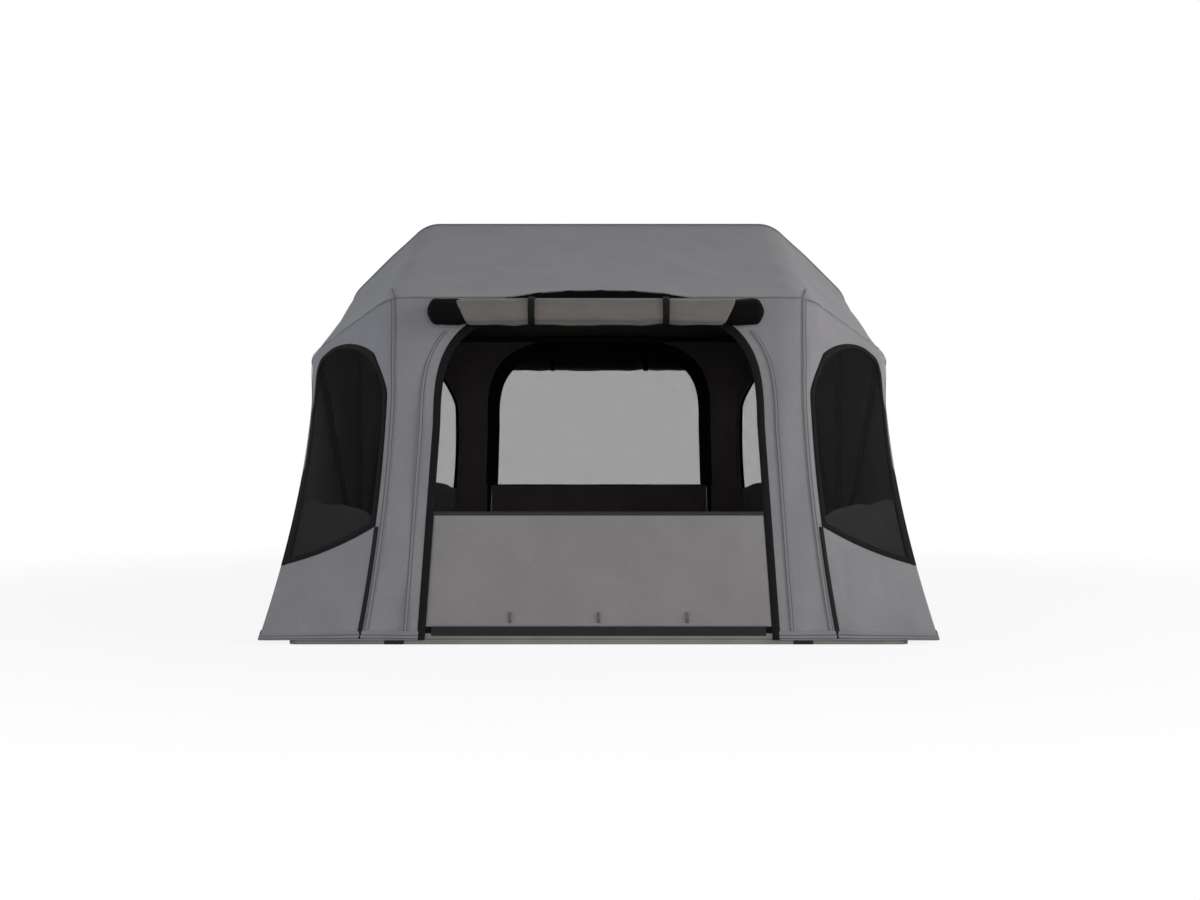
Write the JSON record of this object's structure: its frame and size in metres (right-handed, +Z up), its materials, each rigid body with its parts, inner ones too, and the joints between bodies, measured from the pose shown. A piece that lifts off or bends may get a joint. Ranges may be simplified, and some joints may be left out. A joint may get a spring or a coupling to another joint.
{
  "type": "roof top tent",
  "caption": "Soft-shell roof top tent, open, with a hinged two-part base, folding bows, grey cloth canopy, arched end doors and mesh corner windows.",
  "frame": {"origin": "middle of the base underside, under the fold line", "axes": "+X to the right seen from the front door, +Y from the front end to the rear end, +Z up"},
  "size_m": [1.5524, 2.4226, 1.0882],
  "materials": {
    "canopy_cloth": "matte woven cloth",
    "door_cloth": "matte woven cloth",
    "mesh": "fine open mesh",
    "black_webbing": "woven tape",
    "mattress_cover": "knitted cover",
    "floor_skin": "satin sheet",
    "frame_alloy": "satin anodised",
    "bow_tube": "satin anodised",
    "hinge_steel": "satin",
    "black_plastic": "matte"
  },
  "bodies": {
    "front_base": {"front_floor": "floor_skin", "front_end_rail": "frame_alloy", "front_side_rails": "frame_alloy", "front_mid_rail": "frame_alloy", "front_corners": "frame_alloy", "mount_rails": "frame_alloy", "rail_caps": "black_plastic", "front_hinge_plates": "hinge_steel", "front_plate_screws": "hinge_steel", "hinge_pins": "hinge_steel", "front_bow_bolts": "hinge_steel", "front_mattress": "mattress_cover", "front_roof": "canopy_cloth", "front_wall": "canopy_cloth", "front_corner_panels": "canopy_cloth", "front_lower_corners": "canopy_cloth", "front_sides": "canopy_cloth", "front_window_mesh": "mesh", "front_window_covers": "door_cloth", "front_window_bindings": "black_webbing", "front_corner_zips": "black_webbing", "front_door_binding": "black_webbing", "front_door_roll": "door_cloth", "front_mesh_roll": "mesh", "front_roll_straps": "black_webbing", "front_door_panel": "door_cloth", "front_door_loops": "black_webbing", "front_sill": "black_plastic"},
    "rear_base": {"rear_floor": "floor_skin", "rear_end_rail": "frame_alloy", "rear_side_rails": "frame_alloy", "rear_mid_rail": "frame_alloy", "rear_corners": "frame_alloy", "rear_hinge_plates": "hinge_steel", "rear_plate_screws": "hinge_steel", "rear_bow_bolts": "hinge_steel", "rear_mattress": "mattress_cover", "rear_roof": "canopy_cloth", "rear_wall": "canopy_cloth", "rear_corner_panels": "canopy_cloth", "rear_lower_corners": "canopy_cloth", "rear_sides": "canopy_cloth", "rear_window_mesh": "mesh", "rear_window_covers": "door_cloth", "rear_window_bindings": "black_webbing", "rear_corner_zips": "black_webbing", "rear_door_binding": "black_webbing", "rear_door_roll": "door_cloth", "rear_roll_straps": "black_webbing", "rear_door_panel": "door_cloth", "rear_door_loops": "black_webbing", "rear_sill": "black_plastic", "rear_door_mesh": "mesh"},
    "front_bow": {"front_bow": "bow_tube", "front_bow_eyes": "black_plastic"},
    "mid_bow": {"mid_bow": "bow_tube", "mid_bow_eyes": "black_plastic"},
    "rear_bow": {"rear_bow": "bow_tube", "rear_bow_eyes": "black_plastic"}
  },
  "joints": [
    {"name": "base_fold", "type": "hinge", "parent": "front_base", "child": "rear_base", "pos_m": [0, 0, 0.13], "axis": [1, 0, 0], "range_deg": [0, 180], "deforming": ["front_roof", "front_wall", "front_corner_panels", "front_lower_corners", "front_sides", "front_window_mesh", "front_window_covers", "front_window_bindings", "front_corner_zips", "front_door_binding", "front_door_roll", "front_mesh_roll", "front_roll_straps", "front_door_panel", "front_door_loops", "rear_roof", "rear_wall", "rear_corner_panels", "rear_lower_corners", "rear_sides", "rear_window_mesh", "rear_window_covers", "rear_window_bindings", "rear_corner_zips", "rear_door_binding", "rear_door_roll", "rear_roll_straps", "rear_door_panel", "rear_door_loops", "rear_door_mesh"]},
    {"name": "mid_bow_swing", "type": "hinge", "parent": "front_base", "child": "mid_bow", "pos_m": [0, 0, 0.13], "axis": [1, 0, 0], "range_deg": [0, 90]},
    {"name": "front_bow_swing", "type": "hinge", "parent": "front_base", "child": "front_bow", "pos_m": [0, -0.07, 0.1], "axis": [1, 0, 0], "range_deg": [0, 38.2]},
    {"name": "rear_bow_swing", "type": "hinge", "parent": "rear_base", "child": "rear_bow", "pos_m": [0, 0.07, 0.1], "axis": [1, 0, 0], "range_deg": [-38.2, 0]}
  ],
  "couplings": [
    {"joint": "mid_bow_swing", "follows": "base_fold", "ratio": 0.5},
    {"joint": "front_bow_swing", "follows": "base_fold", "ratio": 0.21222},
    {"joint": "rear_bow_swing", "follows": "base_fold", "ratio": -0.21222}
  ]
}
